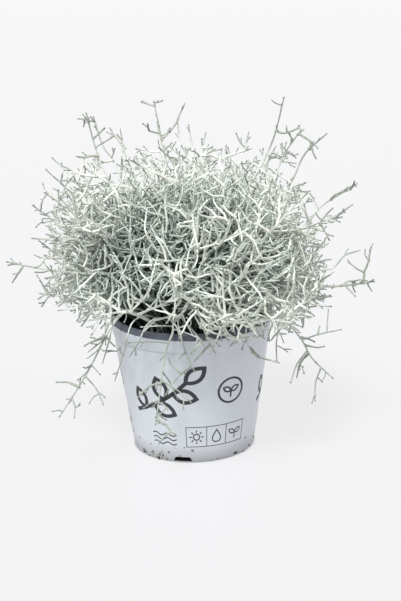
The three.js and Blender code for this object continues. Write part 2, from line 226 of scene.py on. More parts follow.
def shootMaterial(tones):
    # Green stems under white felt: dark green deep in the bush, partly greener inner wood and partly painted shade;
    # creamy on old wood; olive at the buds, and olive-grey on the outermost canes as painted shade
    material, tree, shader, place = newMaterial("white felted stem", {
        "Roughness": 0.9, "Sheen Weight": 0.2, "Sheen Roughness": 0.5, "Specular IOR Level": 0.25})
    color = linear(tones["inner"])
    for attribute, tone in (("tone", "outer"), ("cream", "cream"), ("oliveTipsAndSkinShade", "oliveTipsAndSkinShade")):
        share = out(addNode(tree, "ShaderNodeAttribute", attribute_name=attribute), "Fac")
        color = addNode(tree, "ShaderNodeMix", {"Factor": share, "A": color, "B": linear(tones[tone])},
                        data_type="RGBA")
    felt = addNode(tree, "ShaderNodeTexNoise", {"Vector": place, "Scale": 1 / (2.6 * mm), "Detail": 5.0,
                                               "Roughness": 0.7})
    level = addNode(tree, "ShaderNodeMapRange", {"Value": felt, "From Min": 0.3, "From Max": 0.7,
                                                "To Min": 0.7, "To Max": 1.16})
    own = out(addNode(tree, "ShaderNodeAttribute", attribute_name="shade"), "Fac")
    share = addNode(tree, "ShaderNodeMath", {0: level, 1: own}, operation="MULTIPLY")
    shade = addNode(tree, "ShaderNodeVectorMath", {0: color, "Scale": share}, operation="SCALE")
    tree.links.new(out(shade), shader.inputs["Base Color"])
    fuzz = addNode(tree, "ShaderNodeTexNoise", {"Vector": place, "Scale": 1 / (0.7 * mm), "Detail": 3.0})
    bump = addNode(tree, "ShaderNodeBump", {"Height": fuzz, "Strength": 0.5, "Distance": 0.25 * mm})
    tree.links.new(out(bump), shader.inputs["Normal"])
    return material


def floorMaterial():
    # White floor that glows evenly, so cast shadows stay faint and things on it are lit from below; the glow fades out
    # in a disc round the pot's foot, a painted contact shadow
    material, tree, shader, place = newMaterial("glowing white floor with painted shadow", {
        "Base Color": linear("#4c4c4e"), "Emission Color": linear("#fcfcfd"), "Roughness": 0.3,
        "Specular IOR Level": 0.1})
    reach = out(addNode(tree, "ShaderNodeVectorMath", {0: place}, operation="LENGTH"), "Value")
    # Painted contact shadow: no glow within 41 mm of the middle, full glow from 46 mm out
    glowAndPaintedShadow = addNode(tree, "ShaderNodeMapRange", {"Value": reach, "From Min": 41 * mm, "From Max": 46 * mm,
                                               "To Max": 0.785})
    tree.links.new(out(glowAndPaintedShadow), shader.inputs["Emission Strength"])
    return material


potLight = potSkinMaterial("moulded light polypropylene", "#d2d7de", 0.44, footDustAndShade=True)
potDark = potSkinMaterial("moulded dark polypropylene", "#5a5e6a", 0.42, footDustAndShade=False)
printInk = inkMaterial()
peat = peatMaterial("damp peat", "#070504", "#1f1712", grain=5)
peatCrumb = peatMaterial("peat crumbs", "#0a0706", "#33271f", grain=9)
peatSpeck = peatMaterial("dried peat and sand", "#2c2621", "#cfc9bd", grain=5)
feltedStem = shootMaterial(shootTones)
print("materials made")


# Pot: turned from its outline, with the notches and drains cut in

pot = dict(height=103, rimRadius=60, footRadius=44.5, wall=1.1, sides=160, collarHeight=15, collarStep=0.7,
           lipHeight=5.2, lipLean=2.6, footRing=2, footRound=0.5, footFlare=1.6, floorLift=3,
           gutterLift=5, gutterInner=35, gutterStep=1.5, sharpDeg=38)
notches = dict(turns=3, firstDeg=-101, taper=1.8, deep=5, round=0.7,
               shapes=[(0, 14.5, 4.4), (33, 3.4, 1.7), (53, 5.2, 3.4), (76, 5.2, 3.4)])
drains = dict(count=6, firstDeg=17, radius=2.8, circle=39.4, middleRadius=5, sides=24, cutHeight=10, cutMiddle=3)

potSlope = (pot["rimRadius"] - pot["footRadius"]) / pot["height"]


def outerRadius(z):
    return pot["footRadius"] + potSlope * z


def innerRadius(z):
    return outerRadius(z) - pot["wall"]


def potOutline():
    # Radius and height, up the light outside and down the dark inside; the small numbers round the edges
    p, top, foot, wall, step = pot, pot["height"], pot["footRadius"], pot["wall"], pot["collarStep"]
    collar, lip, rim = top - p["collarHeight"], top - p["lipHeight"], p["rimRadius"] - p["lipLean"]
    ringInner, gutter, floor = foot - p["footRing"], p["gutterInner"], p["floorLift"]
    gutterFloor = p["gutterLift"] + wall
    light = [(0, floor), (gutter, floor), (gutter + p["gutterStep"], p["gutterLift"]), (ringInner, p["gutterLift"]),
             (ringInner, 0), (foot - p["footRound"], 0), (foot - 0.1, 0.3),
             (outerRadius(p["footFlare"]), p["footFlare"]), (outerRadius(6), 6)]
    light += [(outerRadius(z), z) for z in range(14, int(collar) - 4, 12)]
    light += [(outerRadius(collar - 1) - step, collar - 1), (outerRadius(collar) - step, collar),
              (outerRadius(collar + 0.6) - 0.15, collar + 0.6), (outerRadius(collar + 1.2), collar + 1.2),
              (outerRadius(lip - 1), lip - 1), (outerRadius(lip) - 0.02, lip)]
    dark = [(outerRadius(lip) - 0.35, lip + 0.3), (rim + 0.75, top - 1.2), (rim + 0.3, top - 0.35),
            (rim - wall * 0.4, top), (rim - wall * 0.85, top - 0.3), (rim - wall, top - 0.9),
            (innerRadius(lip), lip), (innerRadius(collar) - step, collar), (innerRadius(40), 40),
            (innerRadius(gutterFloor), gutterFloor), (gutter + p["gutterStep"] - wall / 2, gutterFloor),
            (gutter - wall / 2, floor + wall), (0, floor + wall)]
    return light + dark, len(light)


def cutterMesh():
    # Tapered blocks for the notches and posts for the drains, in one mesh
    body = bmesh.new()
    for turn in range(notches["turns"]):
        for offset, width, height in notches["shapes"]:
            at = math.radians(notches["firstDeg"] + offset + turn * 360 / notches["turns"])
            half = width / 2
            narrow = half - min(notches["taper"], half / 2)
            corner = min(notches["round"], narrow / 2)
            shape = [(-half, -1), (half, -1), (half, 0), (narrow + corner * 0.5, height - corner),
                     (narrow - corner, height), (-narrow + corner, height), (-narrow - corner * 0.5, height - corner),
                     (-half, 0)]
            middle = pot["footRadius"] - pot["footRing"] / 2
            rows = []
            for depth in (middle - notches["deep"], middle + notches["deep"]):
                rows.append([body.verts.new((depth * math.cos(at) - s * math.sin(at),
                                             depth * math.sin(at) + s * math.cos(at), z)) for s, z in shape])
            for i in range(len(shape)):
                j = (i + 1) % len(shape)
                body.faces.new((rows[0][i], rows[0][j], rows[1][j], rows[1][i]))
            body.faces.new(rows[0])
            body.faces.new(rows[1][::-1])
    spots = [(0, 0, drains["middleRadius"])]
    for i in range(drains["count"]):
        at = math.radians(i * 360 / drains["count"] + drains["firstDeg"])
        spots.append((drains["circle"] * math.cos(at), drains["circle"] * math.sin(at), drains["radius"]))
    for x, y, radius in spots:
        bmesh.ops.create_cone(body, cap_ends=True, segments=drains["sides"], radius1=radius, radius2=radius,
                              depth=drains["cutHeight"], matrix=Matrix.Translation((x, y, drains["cutMiddle"])))
    bmesh.ops.recalc_face_normals(body, faces=body.faces)
    bmesh.ops.scale(body, vec=(mm, mm, mm), verts=body.verts)
    mesh = bpy.data.meshes.new("cutter")
    body.to_mesh(mesh)
    body.free()
    return placeObject("cutter", mesh)


def turnedMesh(outline, sides):
    # A closed turned body; the first and last points are on the axis
    points = [(0, 0, outline[0][1])]
    for radius, z in outline[1:-1]:
        points += [(radius * math.cos(a), radius * math.sin(a), z) for a in np.arange(sides) * 2 * math.pi / sides]
    points.append((0, 0, outline[-1][1]))
    rings = len(outline) - 2
    faces = []
    for k in range(sides):
        j = (k + 1) % sides
        faces.append((0, 1 + j, 1 + k))
        for ring in range(rings - 1):
            a = 1 + ring * sides
            b = a + sides
            faces.append((a + k, a + j, b + j, b + k))
        top = 1 + (rings - 1) * sides
        faces.append((top + k, top + j, len(points) - 1))
    return points, faces


def makePot():
    outline, lightCount = potOutline()
    points, faces = turnedMesh(outline, pot["sides"])
    piece = meshObject("pot_moulded", points, faces, [potLight, potDark])
    perSide = len(outline) - 1
    for index, polygon in enumerate(piece.data.polygons):
        polygon.material_index = int(index % perSide >= lightCount)
    cutter = cutterMesh()
    cut = piece.modifiers.new("notches", "BOOLEAN")
    cut.operation = "DIFFERENCE"
    cut.solver = "EXACT"
    cut.object = cutter
    keepResult(piece, cut)
    dropObject(cutter)
    piece.data.set_sharp_from_angle(angle=math.radians(pot["sharpDeg"]))
    return piece


potPiece = makePot()
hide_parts("pot")
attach(potPiece, "root")
print("pot made:", len(potPiece.data.polygons), "faces")


# Print on the wall, three times round: a leafy sprig, a low ruled panel of growing signs and a round mark

printing = dict(times=3, ink=0.05, lift=0.02, slice=1.5, middle=45, frontDeg=-90, left=-50, right=50,
                sprigFoot=(-47, 38), leafWidth=0.56, panel=(-6, 42, 13, 29), signs=("sun", "drop", "sprout"),
                signSize=5.6, mark=(28, 56), markRadius=9.6, markSign=6.2, waves=3, waveFoot=(-34, 15),
                waveLength=20, waveStep=3.6, sprigStroke=2.9, ruleStroke=0.5, signStroke=0.85, markStroke=1.6)
# Leaves of the sprig: which point of its spine they leave, which way they point, and their length
sprigLeaves = [(2, 112, 15), (4, -24, 17), (6, 106, 17), (8, -14, 17), (11, 42, 17)]


def archedPath(a, b, bulge, count):
    side = Vector((a.y - b.y, b.x - a.x)) * bulge
    return [a.lerp(b, t) + side * (4 * t * (1 - t)) for t in np.linspace(0, 1, count + 1)]


def leafPath(x, z, deg, length, width):
    base = Vector((x, z))
    tip = base + Vector((math.cos(math.radians(deg)), math.sin(math.radians(deg)))) * length
    bulge = width / 2 / length
    return archedPath(base, tip, bulge, 9) + archedPath(tip, base, bulge, 9)[1:-1]


def ringPath(x, z, radius, count=36):
    turns = np.arange(count) * 2 * math.pi / count
    return [Vector((x + radius * math.cos(a), z + radius * math.sin(a))) for a in turns]


def dropPath(x, z, radius, count=28):
    turns = (np.arange(count) + 0.5) * 2 * math.pi / count
    return [Vector((x + radius * math.sin(a) * abs(math.sin(a / 2)) ** 1.6, z + radius * math.cos(a))) for a in turns]


def inkStroke(flat, path, width, closed=False):
    # A flat band along a path, with mitred corners
    count, pairs = len(path), []
    for i, here in enumerate(path):
        before = path[i - 1] if closed or i else here
        after = path[(i + 1) % count] if closed or i < count - 1 else here
        edge = (after - here if after != here else here - before).normalized()
        way = ((here - before).normalized() + (after - here).normalized()).normalized()
        side = Vector((-way.y, way.x)) * (width / 2 / max(0.45, abs(way.dot(edge))))
        pairs.append([flat.verts.new((*(here + side * k), 0)) for k in (1, -1)])
    for i in range(count if closed else count - 1):
        j = (i + 1) % count
        flat.faces.new((pairs[i][0], pairs[i][1], pairs[j][1], pairs[j][0]))


def drawSign(flat, kind, x, z, size, stroke):
    # Sun, water drop or sprout, the signs of a growing guide, drawn in shares of their size
    middle = Vector((x, z))
    if kind == "sun":
        inkStroke(flat, ringPath(x, z, size * 0.44), stroke, closed=True)
        for a in np.arange(8) * math.pi / 4:
            ray = Vector((math.cos(a), math.sin(a))) * size
            inkStroke(flat, [middle + ray * 0.66, middle + ray], stroke)
    elif kind == "drop":
        inkStroke(flat, dropPath(x, z, size * 0.9), stroke, closed=True)
    else:
        inkStroke(flat, [middle - Vector((0, size * 0.9)), middle + Vector((0, size * 0.1))], stroke)
        for deg in (28, 152):
            inkStroke(flat, leafPath(x, z - size * 0.1, deg, size * 1.08, size * 0.56), stroke, closed=True)


def drawPrint(flat):
    p = printing
    x, z = p["sprigFoot"]
    spine = [Vector((x + 42 * t + 3 * math.sin(t * 3), z + 19 * t + 8 * t * t)) for t in np.linspace(0, 1, 12)]
    inkStroke(flat, spine, p["sprigStroke"])
    for at, deg, length in sprigLeaves:
        leaf = leafPath(*spine[at], deg, length, length * p["leafWidth"])
        inkStroke(flat, leaf, p["sprigStroke"], closed=True)
    left, right, low, high = p["panel"]
    corners = [Vector(c) for c in ((left, low), (right, low), (right, high), (left, high))]
    inkStroke(flat, corners, p["ruleStroke"], closed=True)
    cell = (right - left) / len(p["signs"])
    for k, kind in enumerate(p["signs"]):
        if k:
            inkStroke(flat, [Vector((left + cell * k, low)), Vector((left + cell * k, high))], p["ruleStroke"])
        drawSign(flat, kind, left + cell * (k + 0.5), (low + high) / 2, p["signSize"], p["signStroke"])
    inkStroke(flat, ringPath(*p["mark"], p["markRadius"]), p["markStroke"], closed=True)
    drawSign(flat, "sprout", *p["mark"], p["markSign"], p["markStroke"] * 0.8)
    x, z = p["waveFoot"]
    for k in range(p["waves"]):
        wave = [Vector((x + t * p["waveLength"], z + k * p["waveStep"] + math.sin(t * 4 * math.pi)))
                for t in np.linspace(0, 1, 25)]
        inkStroke(flat, wave, p["signStroke"])


def makePrint():
    # Drawn flat, sliced, then laid round the tapered wall as a thin closed skin of ink
    p = printing
    flat = bmesh.new()
    drawPrint(flat)
    for x in np.arange(p["left"], p["right"], p["slice"]):
        bmesh.ops.bisect_plane(flat, geom=flat.verts[:] + flat.edges[:] + flat.faces[:], plane_co=(x, 0, 0),
                               plane_no=(1, 0, 0))
    bmesh.ops.triangulate(flat, faces=flat.faces[:])
    flat.verts.index_update()
    drawn = [(v.co.x, v.co.y) for v in flat.verts]
    count = len(drawn)
    triangles = [[v.index for v in f.verts] for f in flat.faces]
    edges = [e.link_loops[0] for e in flat.edges if e.is_boundary]
    rims = [(loop.vert.index, loop.link_loop_next.vert.index) for loop in edges]
    flat.free()
    points, faces = [], []
    for turn in range(p["times"]):
        first = len(points)
        start = math.radians(p["frontDeg"] + turn * 360 / p["times"])
        for proud in (p["lift"] + p["ink"], p["lift"]):
            for x, z in drawn:
                a, r = start + x / outerRadius(p["middle"]), outerRadius(z) + proud
                points.append((r * math.cos(a), r * math.sin(a), z))
        faces += [[first + i for i in t] for t in triangles]
        faces += [[first + count + i for i in reversed(t)] for t in triangles]
        faces += [(first + b, first + a, first + count + a, first + count + b) for a, b in rims]
    return meshObject("pot_print", points, faces, [printInk], smooth=False)


printPiece = makePrint()
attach(printPiece, "root")
print("print made:", len(printPiece.data.polygons), "faces")


# Soil: a lumpy mound under the rim, with loose crumbs

soil = dict(edge=90.5, mound=3.2, lump=0.9, sink=1, sinkFrom=0.97, gap=0.35, sides=128, rings=40, clod=0.9,
            clodTurns=0.22, topBand=3)
crumbling = {"Attribute": "top", "Density": 90000.0, "Smallest": 0.35 * mm, "Largest": 2.0 * mm, "Flatness": 0.75,
             "Seed": 11}


def soilHeight(x, y):
    # The same mound and low waves as the solids' soil
    r = np.hypot(x, y) / pot["rimRadius"]
    fine = np.sin(x * 0.31 + 1.3) * np.cos(y * 0.27 - 0.6)
    broad = 0.6 * np.sin(x * 0.13 - y * 0.34 + 2.1)
    return soil["edge"] + soil["mound"] * (1 - r * r) + soil["lump"] * (fine + broad)


def makeSoil():
    floor = pot["gutterLift"] + pot["wall"] + soil["gap"]
    low = innerRadius(floor) - pot["collarStep"] - soil["gap"]
    high = innerRadius(soil["edge"] - soil["sink"]) - pot["collarStep"] - soil["gap"]
    outline = [(0, floor), (low, floor)]
    outline += [(high * (1 - (i / soil["rings"]) ** 1.1), soil["edge"]) for i in range(soil["rings"])]
    outline.append((0, soil["edge"]))
    points, faces = turnedMesh(outline, soil["sides"])
    points = np.array(points)
    top = np.arange(len(points)) > soil["sides"]
    x, y = points[top, 0], points[top, 1]
    turns = soil["clodTurns"]
    clods = [noise.fractal(Vector((a * turns, b * turns, 3.1)), 1.0, 2.1, 4) for a, b in zip(x, y)]
    rim = np.clip((np.hypot(x, y) / high - soil["sinkFrom"]) / (1 - soil["sinkFrom"]), 0, 1)
    points[top, 2] = soilHeight(x, y) + soil["clod"] * np.array(clods) - soil["sink"] * rim
    return meshObject("soil_peat", points, faces, [peat])


def scatterTree():
    # Small lumps strewn over the faces that an attribute picks
    tree, given, result = newTree("scatterTree", {"Attribute": "String", "Density": "Float", "Smallest": "Float",
                                                  "Largest": "Float", "Flatness": "Float", "Seed": "Int",
                                                  "Lumps": "Material", "Shape": "Object"})
    share = addNode(tree, "GeometryNodeInputNamedAttribute", {"Name": out(given, "Attribute")}, data_type="FLOAT")
    density = addNode(tree, "ShaderNodeMath", {0: share, 1: out(given, "Density")}, operation="MULTIPLY")
    strewn = addNode(tree, "GeometryNodeDistributePointsOnFaces",
                     {"Mesh": given, "Density": density, "Seed": out(given, "Seed")})
    size = addNode(tree, "FunctionNodeRandomValue", {"Min": 0.0, "Max": 1.0, "Seed": out(given, "Seed")})
    curve = addNode(tree, "ShaderNodeMath", {0: size, 1: 2.2}, operation="POWER")
    spread = addNode(tree, "ShaderNodeMapRange", {"Value": curve, "To Min": out(given, "Smallest"),
                                                 "To Max": out(given, "Largest")})
    flat = addNode(tree, "ShaderNodeMath", {0: spread, 1: out(given, "Flatness")}, operation="MULTIPLY")
    scale = addNode(tree, "ShaderNodeCombineXYZ", {"X": spread, "Y": spread, "Z": flat})
    spin = addNode(tree, "FunctionNodeRandomValue", {"Max": (0.5, 0.5, 6.28), "Min": (-0.5, -0.5, 0.0)},
                   data_type="FLOAT_VECTOR")
    turn = addNode(tree, "FunctionNodeEulerToRotation", {0: spin})
    facing = addNode(tree, "FunctionNodeRotateRotation", {"Rotation": out(strewn, "Rotation"), "Rotate By": turn},
                     rotation_space="LOCAL")
    shape = addNode(tree, "GeometryNodeObjectInfo", {"Object": out(given, "Shape")})
    lumps = addNode(tree, "GeometryNodeInstanceOnPoints",
                    {"Points": strewn, "Instance": out(shape, "Geometry"), "Rotation": facing, "Scale": scale})
    real = addNode(tree, "GeometryNodeRealizeInstances", {0: lumps})
    painted = addNode(tree, "GeometryNodeSetMaterial", {"Geometry": real, "Material": out(given, "Lumps")})
    tree.links.new(out(painted), result.inputs[0])
    return tree


def lumpShape(name, seed):
    # A rough grain of unit size with twenty faces
    body = bmesh.new()
    bmesh.ops.create_icosphere(body, subdivisions=1, radius=1)
    draw = random.Random(seed)
    for vert in body.verts:
        vert.co *= draw.uniform(0.7, 1.15)
    mesh = bpy.data.meshes.new(name)
    body.to_mesh(mesh)
    body.free()
    return placeObject(name, mesh)


specks = dict(height=13, mostDeg=-136, spread=26, fewest=0.06)
speckling = {"Attribute": "dirty", "Density": 300000.0, "Smallest": 0.16 * mm, "Largest": 1.5 * mm, "Flatness": 0.5,
             "Seed": 4}


def topShare(spots):
    return (spots[:, 2] > soil["edge"] - soil["topBand"]) * 1.0


def dirtyShare(spots):
    # Most on the outside of the foot and at one place round it
    radius, turn = np.hypot(spots[:, 0], spots[:, 1]), np.degrees(np.arctan2(spots[:, 1], spots[:, 0]))
    outside = (radius > outerRadius(spots[:, 2]) - 0.6) & (spots[:, 2] < specks["height"])
    heap = specks["fewest"] + np.exp(-((turn - specks["mostDeg"]) / specks["spread"]) ** 2)
    return outside * heap * (1 - spots[:, 2] / specks["height"]) ** 1.5


def strewLumps(name, host, shareOf, values, material):
    # Lumps alone, strewn over a copy of what carries them, as thickly as each point's share says
    piece = placeObject(name, host.data.copy())
    storeFloats(piece.data, values["Attribute"], shareOf(np.array([v.co for v in piece.data.vertices]) / mm))
    bakeTree(piece, lumps, {**values, "Lumps": material, "Shape": grain})
    return piece


soilPiece = makeSoil()
lumps = scatterTree()
grain = lumpShape("grain", 5)
crumbs = strewLumps("soil_crumbs", soilPiece, topShare, crumbling, peatCrumb)
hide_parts("soil")
for piece in (soilPiece, crumbs):
    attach(piece, "root")
print("soil made:", len(crumbs.data.polygons), "crumb faces")

wallSpecks = strewLumps("pot_specks", potPiece, dirtyShare, speckling, peatSpeck)
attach(wallSpecks, "root")
print("specks made:", len(wallSpecks.data.polygons), "faces")


# Bush, first the shoots that the solids have: the same rule and the same draws

growth = dict(seed=20417, middle=125, acrossX=116, acrossY=112, up=102, down=44, reachX=133, reachY=128, top=258,
              clearance=0.8, sample=1.5)
stem = dict(depth=9, clear=3, baseRadius=1.35, steps=8, stretch=0.42, trailerStretch=0.65, wander=2.2)
# Kind, root distance and angle, tip distance, angle and height, lean from upright at root and tip
shoots = [
    ("crown", 9, 15, 70, 2, 257, 8, 14),
    ("crown", 10, 170, 70, 184, 251, 10, 6),
    ("crown", 13, 85, 62, 112, 246, 12, 8),
    ("crown", 9, 268, 34, 262, 228, 6, 18),
    ("shoulder", 25, 38, 92, 44, 208, 22, 42),
    ("shoulder", 27, 138, 95, 141, 200, 22, 46),
    ("shoulder", 26, 208, 98, 214, 204, 22, 40),
    ("shoulder", 26, 272, 94, 276, 190, 26, 50),
    ("shoulder", 26, 322, 98, 328, 202, 22, 44),
    ("skirt", 40, 4, 133, 358, 122, 38, 78),
    ("skirt", 39, 62, 120, 58, 132, 36, 80),
    ("skirt", 40, 108, 128, 92, 140, 36, 74),
    ("skirt", 40, 182, 133, 176, 140, 36, 78),
    ("skirt", 39, 240, 116, 236, 130, 38, 82),
    ("skirt", 40, 298, 130, 281, 132, 38, 80),
    ("trailer", 38, 222, 108, 208, 42, 22, 138),
    ("trailer", 39, 332, 108, 338, 62, 24, 132),
    ("trailer", 40, 262, 94, 254, 50, 12, 148),
    ("trailer", 38, 82, 96, 74, 60, 14, 146),
]
forkDeg = (42, 74)
branch = dict(perShoot=6, start=0.24, end=0.96, longest=72, shortest=34, trailing=0.62, vary=(0.75, 1.1), radius=0.92,
              steps=2, bend=0.7, lift=0.35)
twig = dict(spacing=17.5, longest=34, shortest=15, budRadius=0.95)
spur = dict(longest=11, shortest=6)
tries = dict(stem=40, branch=14, twig=10)
forkLength = dict(branch=5, twig=4)


def makeRandom(start):
    # The small generator of the solids' source, on 32-bit whole numbers
    mask = 0xFFFFFFFF
    state = [start]

    def draw():
        state[0] = (state[0] + 0x6D2B79F5) & mask
        t = state[0]
        t = ((t ^ (t >> 15)) * (1 | t)) & mask
        t = ((t + ((t ^ (t >> 7)) * (61 | t) & mask)) & mask) ^ t
        return (t ^ (t >> 14)) / 4294967296
    return draw


draw = makeRandom(growth["seed"])


def between(low, high):
    return low + (high - low) * draw()


def unit(v):
    return v / math.sqrt(v @ v)


def potHit(p, margin):
    x, y, z = p[..., 0], p[..., 1], p[..., 2]
    r = np.hypot(x, y)
    inWall = r > innerRadius(z) - pot["lipLean"] - margin
    inSoil = z < soilHeight(x, y) + margin
    solid = (r <= outerRadius(z) + margin) & (inWall | inSoil)
    return (z <= pot["height"] + margin) & ((z < margin) | solid)


def shellShare(p):
    # 0 in the middle of the cushion, 1 on its skin
    z = p[..., 2] - growth["middle"]
    tall = np.where(z > 0, growth["up"], growth["down"])
    return np.sqrt((p[..., 0] / growth["acrossX"]) ** 2 + (p[..., 1] / growth["acrossY"]) ** 2 + (z / tall) ** 2)


def pastReach(p):
    return abs(p[0]) > growth["reachX"] or abs(p[1]) > growth["reachY"] or p[2] > growth["top"]


most = 4000
grown = dict(start=np.zeros((most, 3)), way=np.zeros((most, 3)), radius=np.zeros(most), node=np.zeros(most, int),
             count=0)


def remember(path, radius, node):
    for a, b in zip(path[:-1], path[1:]):
        i = grown["count"]
        grown["start"][i], grown["way"][i] = a, b - a
        grown["radius"][i], grown["node"][i] = radius, node
        grown["count"] = i + 1


def room(path, radius, node, own):
    # How much room a path has: negative where it touches something
    points, walked, total = [], [], 0
    for a, b in zip(path[:-1], path[1:]):
        length = math.dist(a, b)
        parts = math.ceil(length / growth["sample"])
        share = np.arange(1, parts + 1) / parts
        points.append(a + (b - a) * share[:, None])
        walked.append(total + share * length)
        total += length
    points, walked = np.concatenate(points), np.concatenate(walked)
    if potHit(points, radius + growth["clearance"]).any():
        return -1
    n = grown["count"]
    if n == 0:
        return math.inf
    way = grown["way"][:n]
    gap = points[:, None] - grown["start"][:n]
    t = np.clip((gap * way).sum(-1) / (way * way).sum(-1), 0, 1)
    space = np.sqrt(((gap - t[..., None] * way) ** 2).sum(-1)) - radius - grown["radius"][:n] - growth["clearance"]
    space[(grown["node"][:n] == node) & (walked[:, None] < own)] = math.inf
    return space.min()


def direction(lean, turn):
    return np.array([math.sin(lean) * math.cos(turn), math.sin(lean) * math.sin(turn), math.cos(lean)])


def arcPoint(start, leave, arrive, tip, t):
    return start * (1 - t) ** 3 + leave * 3 * (1 - t) ** 2 * t + arrive * 3 * (1 - t) * t * t + tip * t ** 3


def stemPath(shoot, wander):
    kind, rootOut, rootDeg, tipOut, tipDeg, tipHeight, startLean, endLean = shoot
    rootTurn, tipTurn = math.radians(rootDeg), math.radians(tipDeg)
    x, y = rootOut * math.cos(rootTurn), rootOut * math.sin(rootTurn)
    top = soilHeight(x, y)
    start = np.array([x, y, top + stem["clear"]])
    tip = np.array([tipOut * math.cos(tipTurn), tipOut * math.sin(tipTurn), tipHeight])
    pull = math.dist(start, tip) * stem["trailerStretch" if kind == "trailer" else "stretch"]
    leave = start + direction(math.radians(startLean), rootTurn) * pull
    arrive = tip - direction(math.radians(endLean), tipTurn) * pull
    path = [np.array([x, y, top - stem["depth"]]), start]
    for i in range(1, stem["steps"]):
        stray = [between(-wander, wander), between(-wander, wander), between(-wander, wander) / 2]
        path.append(arcPoint(start, leave, arrive, tip, i / stem["steps"]) + stray)
    return path + [tip]


def along(path, share):
    # Where along a path, and which way it runs there
    lengths = [0]
    for a, b in zip(path[:-1], path[1:]):
        lengths.append(lengths[-1] + math.dist(a, b))
    at = share * lengths[-1]
    i = 1
    while i < len(path) - 1 and lengths[i] < at:
        i += 1
    t = (at - lengths[i - 1]) / (lengths[i] - lengths[i - 1])
    return path[i - 1] + (path[i] - path[i - 1]) * t, unit(path[i] - path[i - 1]), lengths[-1]


def fork(way, angle, turn):
    side = np.array([0, 0, 1.0]) if abs(way[2]) < 0.9 else np.array([1.0, 0, 0])
    a = unit(np.cross(side, way))
    b = np.cross(way, a)
    return way * math.cos(angle) + a * (math.sin(angle) * math.cos(turn)) + b * (math.sin(angle) * math.sin(turn))


def outward(point, lift):
    way = unit(point - np.array([0, 0, growth["middle"]]))
    way[2] += lift
    return way


def bentPath(point, way, length):
    bend = outward(point, branch["lift"])
    path = [point]
    for i in range(branch["steps"]):
        step = unit(way + bend * (branch["bend"] * i / branch["steps"]))
        path.append(path[-1] + step * (length / branch["steps"]))
    return path


def bestOf(count, radius, node, own, attempt):
    best, most = None, 0
    for i in range(count):
        path = attempt(i)
        if path is None or pastReach(path[-1]):
            continue
        space = room(path, radius, node, own)
        if space > most:
            best, most = path, space
    return best


def forkAngle():
    return math.radians(between(*forkDeg))


def growStem(shoot, node):
    for i in range(tries["stem"]):
        path = stemPath(shoot, stem["wander"] + i * 0.1)
        if room(path[1:], stem["baseRadius"], node, math.inf) >= 0:
            remember(path, stem["baseRadius"], node)
            return dict(node=node, trailing=shoot[0] == "trailer", stem=path, branches=[], twigs=[])


def growBranch(plant, i):
    share = branch["start"] + (branch["end"] - branch["start"]) * (i + between(0.1, 0.9)) / branch["perShoot"]
    point, way, _ = along(plant["stem"], share)
    length = branch["longest"] + (branch["shortest"] - branch["longest"]) * share
    length *= branch["trailing"] if plant["trailing"] else 1
    turn = i * goldenAngle + plant["node"]

    def attempt(k):
        leave = fork(way, forkAngle(), turn + between(-1.4, 1.4) + k * 0.4)
        bent = bentPath(point, leave, length * between(*branch["vary"]))
        return None if not plant["trailing"] and shellShare(bent[-1]) > 1 else bent
    path = bestOf(tries["branch"], branch["radius"], plant["node"], forkLength["branch"], attempt)
    if path is not None:
        remember(path, branch["radius"], plant["node"])
        plant["branches"].append(path)


def growTwigs(plant, host, index):
    count = math.floor(along(host, 1)[2] / twig["spacing"])
    for i in range(count):
        point, way, _ = along(host, (i + between(0.35, 0.85)) / count)
        turn = i * goldenAngle + index

        def attempt(k):
            leave = fork(way, forkAngle(), turn + between(-1, 1) + k * 0.6)
            end = point + leave * between(twig["shortest"], twig["longest"])
            if shellShare(end) > 1:
                end = point + leave * between(spur["shortest"], spur["longest"])
            return [point, end]
        path = bestOf(tries["twig"], twig["budRadius"], plant["node"], forkLength["twig"], attempt)
        if path is not None:
            remember(path, twig["budRadius"], plant["node"])
            plant["twigs"].append(path)


def growBush():
    plants = [growStem(shoot, node) for node, shoot in enumerate(shoots)]
    for i in range(branch["perShoot"]):
        for plant in plants:
            growBranch(plant, i)
    for plant in plants:
        for index, host in enumerate([plant["stem"][3:], *plant["branches"]]):
            growTwigs(plant, host, index)
    return plants


plants = growBush()
for kind in ("branches", "twigs"):
    print("shoots grown:", sum(len(p[kind]) for p in plants), kind)


# Then the finer growth between them, which keeps to the emptier places. All in mm: lengths from and to,
# radii at the foot and at the end

fill = dict(seed=81, step=3.0, cell=6, stems=92, stemShare=(0.7, 0.98), stemRadius=(1.25, 0.54), stemTries=12,
            stray=2.6, rootReach=(4, 36), rootSwing=0.35, rootLean=(6, 40), tipLean=(8, 52), pull=0.42, bury=6,
            branchSpacing=15, branchLength=(26, 66), branchRadius=(1.0, 0.66),
            twigSpacing=13.5, twigLength=(10, 28), twigRadius=(0.82, 0.6),
            spurSpacing=9, spurLength=(1.8, 4.6), spurRadius=(0.52, 0.46), spurZone=14, spurShell=0.66,
            innerSpacing=11, innerLength=(10, 26), innerRadius=(0.6, 0.5), innerShell=0.6,
            angle=(54, 88), spurAngle=(24, 54), tries=6, topThin=0.34, skinFrom=0.86, skinTo=1.04,
            skirt=(26, 18, 10, -20), shoulders=(2.8, 0.5), sideShift=-4,
            curl=0.5, knee=3, kneeBend=0.2, wobble=0.05, lift=0.4, potGap=1.3,
            freeBranch=(12, 34), freeLength=(5, 16), freeSkip=0.5, noLimit=9,
            soilHeight=122, soilReach=58, soilSkip=0.85,
            clearing=(-30, -64, 108), clearingSize=(38, 58, 17))
# The solids' own stems, branches and twigs, slimmer here, and slimmest on what hangs free
slimming = dict(trailer=0.74, crown=0.82, crownHeight=220, bow=0.12,
                radii=dict(stem=(1.42, 0.62), branch=(0.86, 0.6), twig=(0.62, 0.56)))
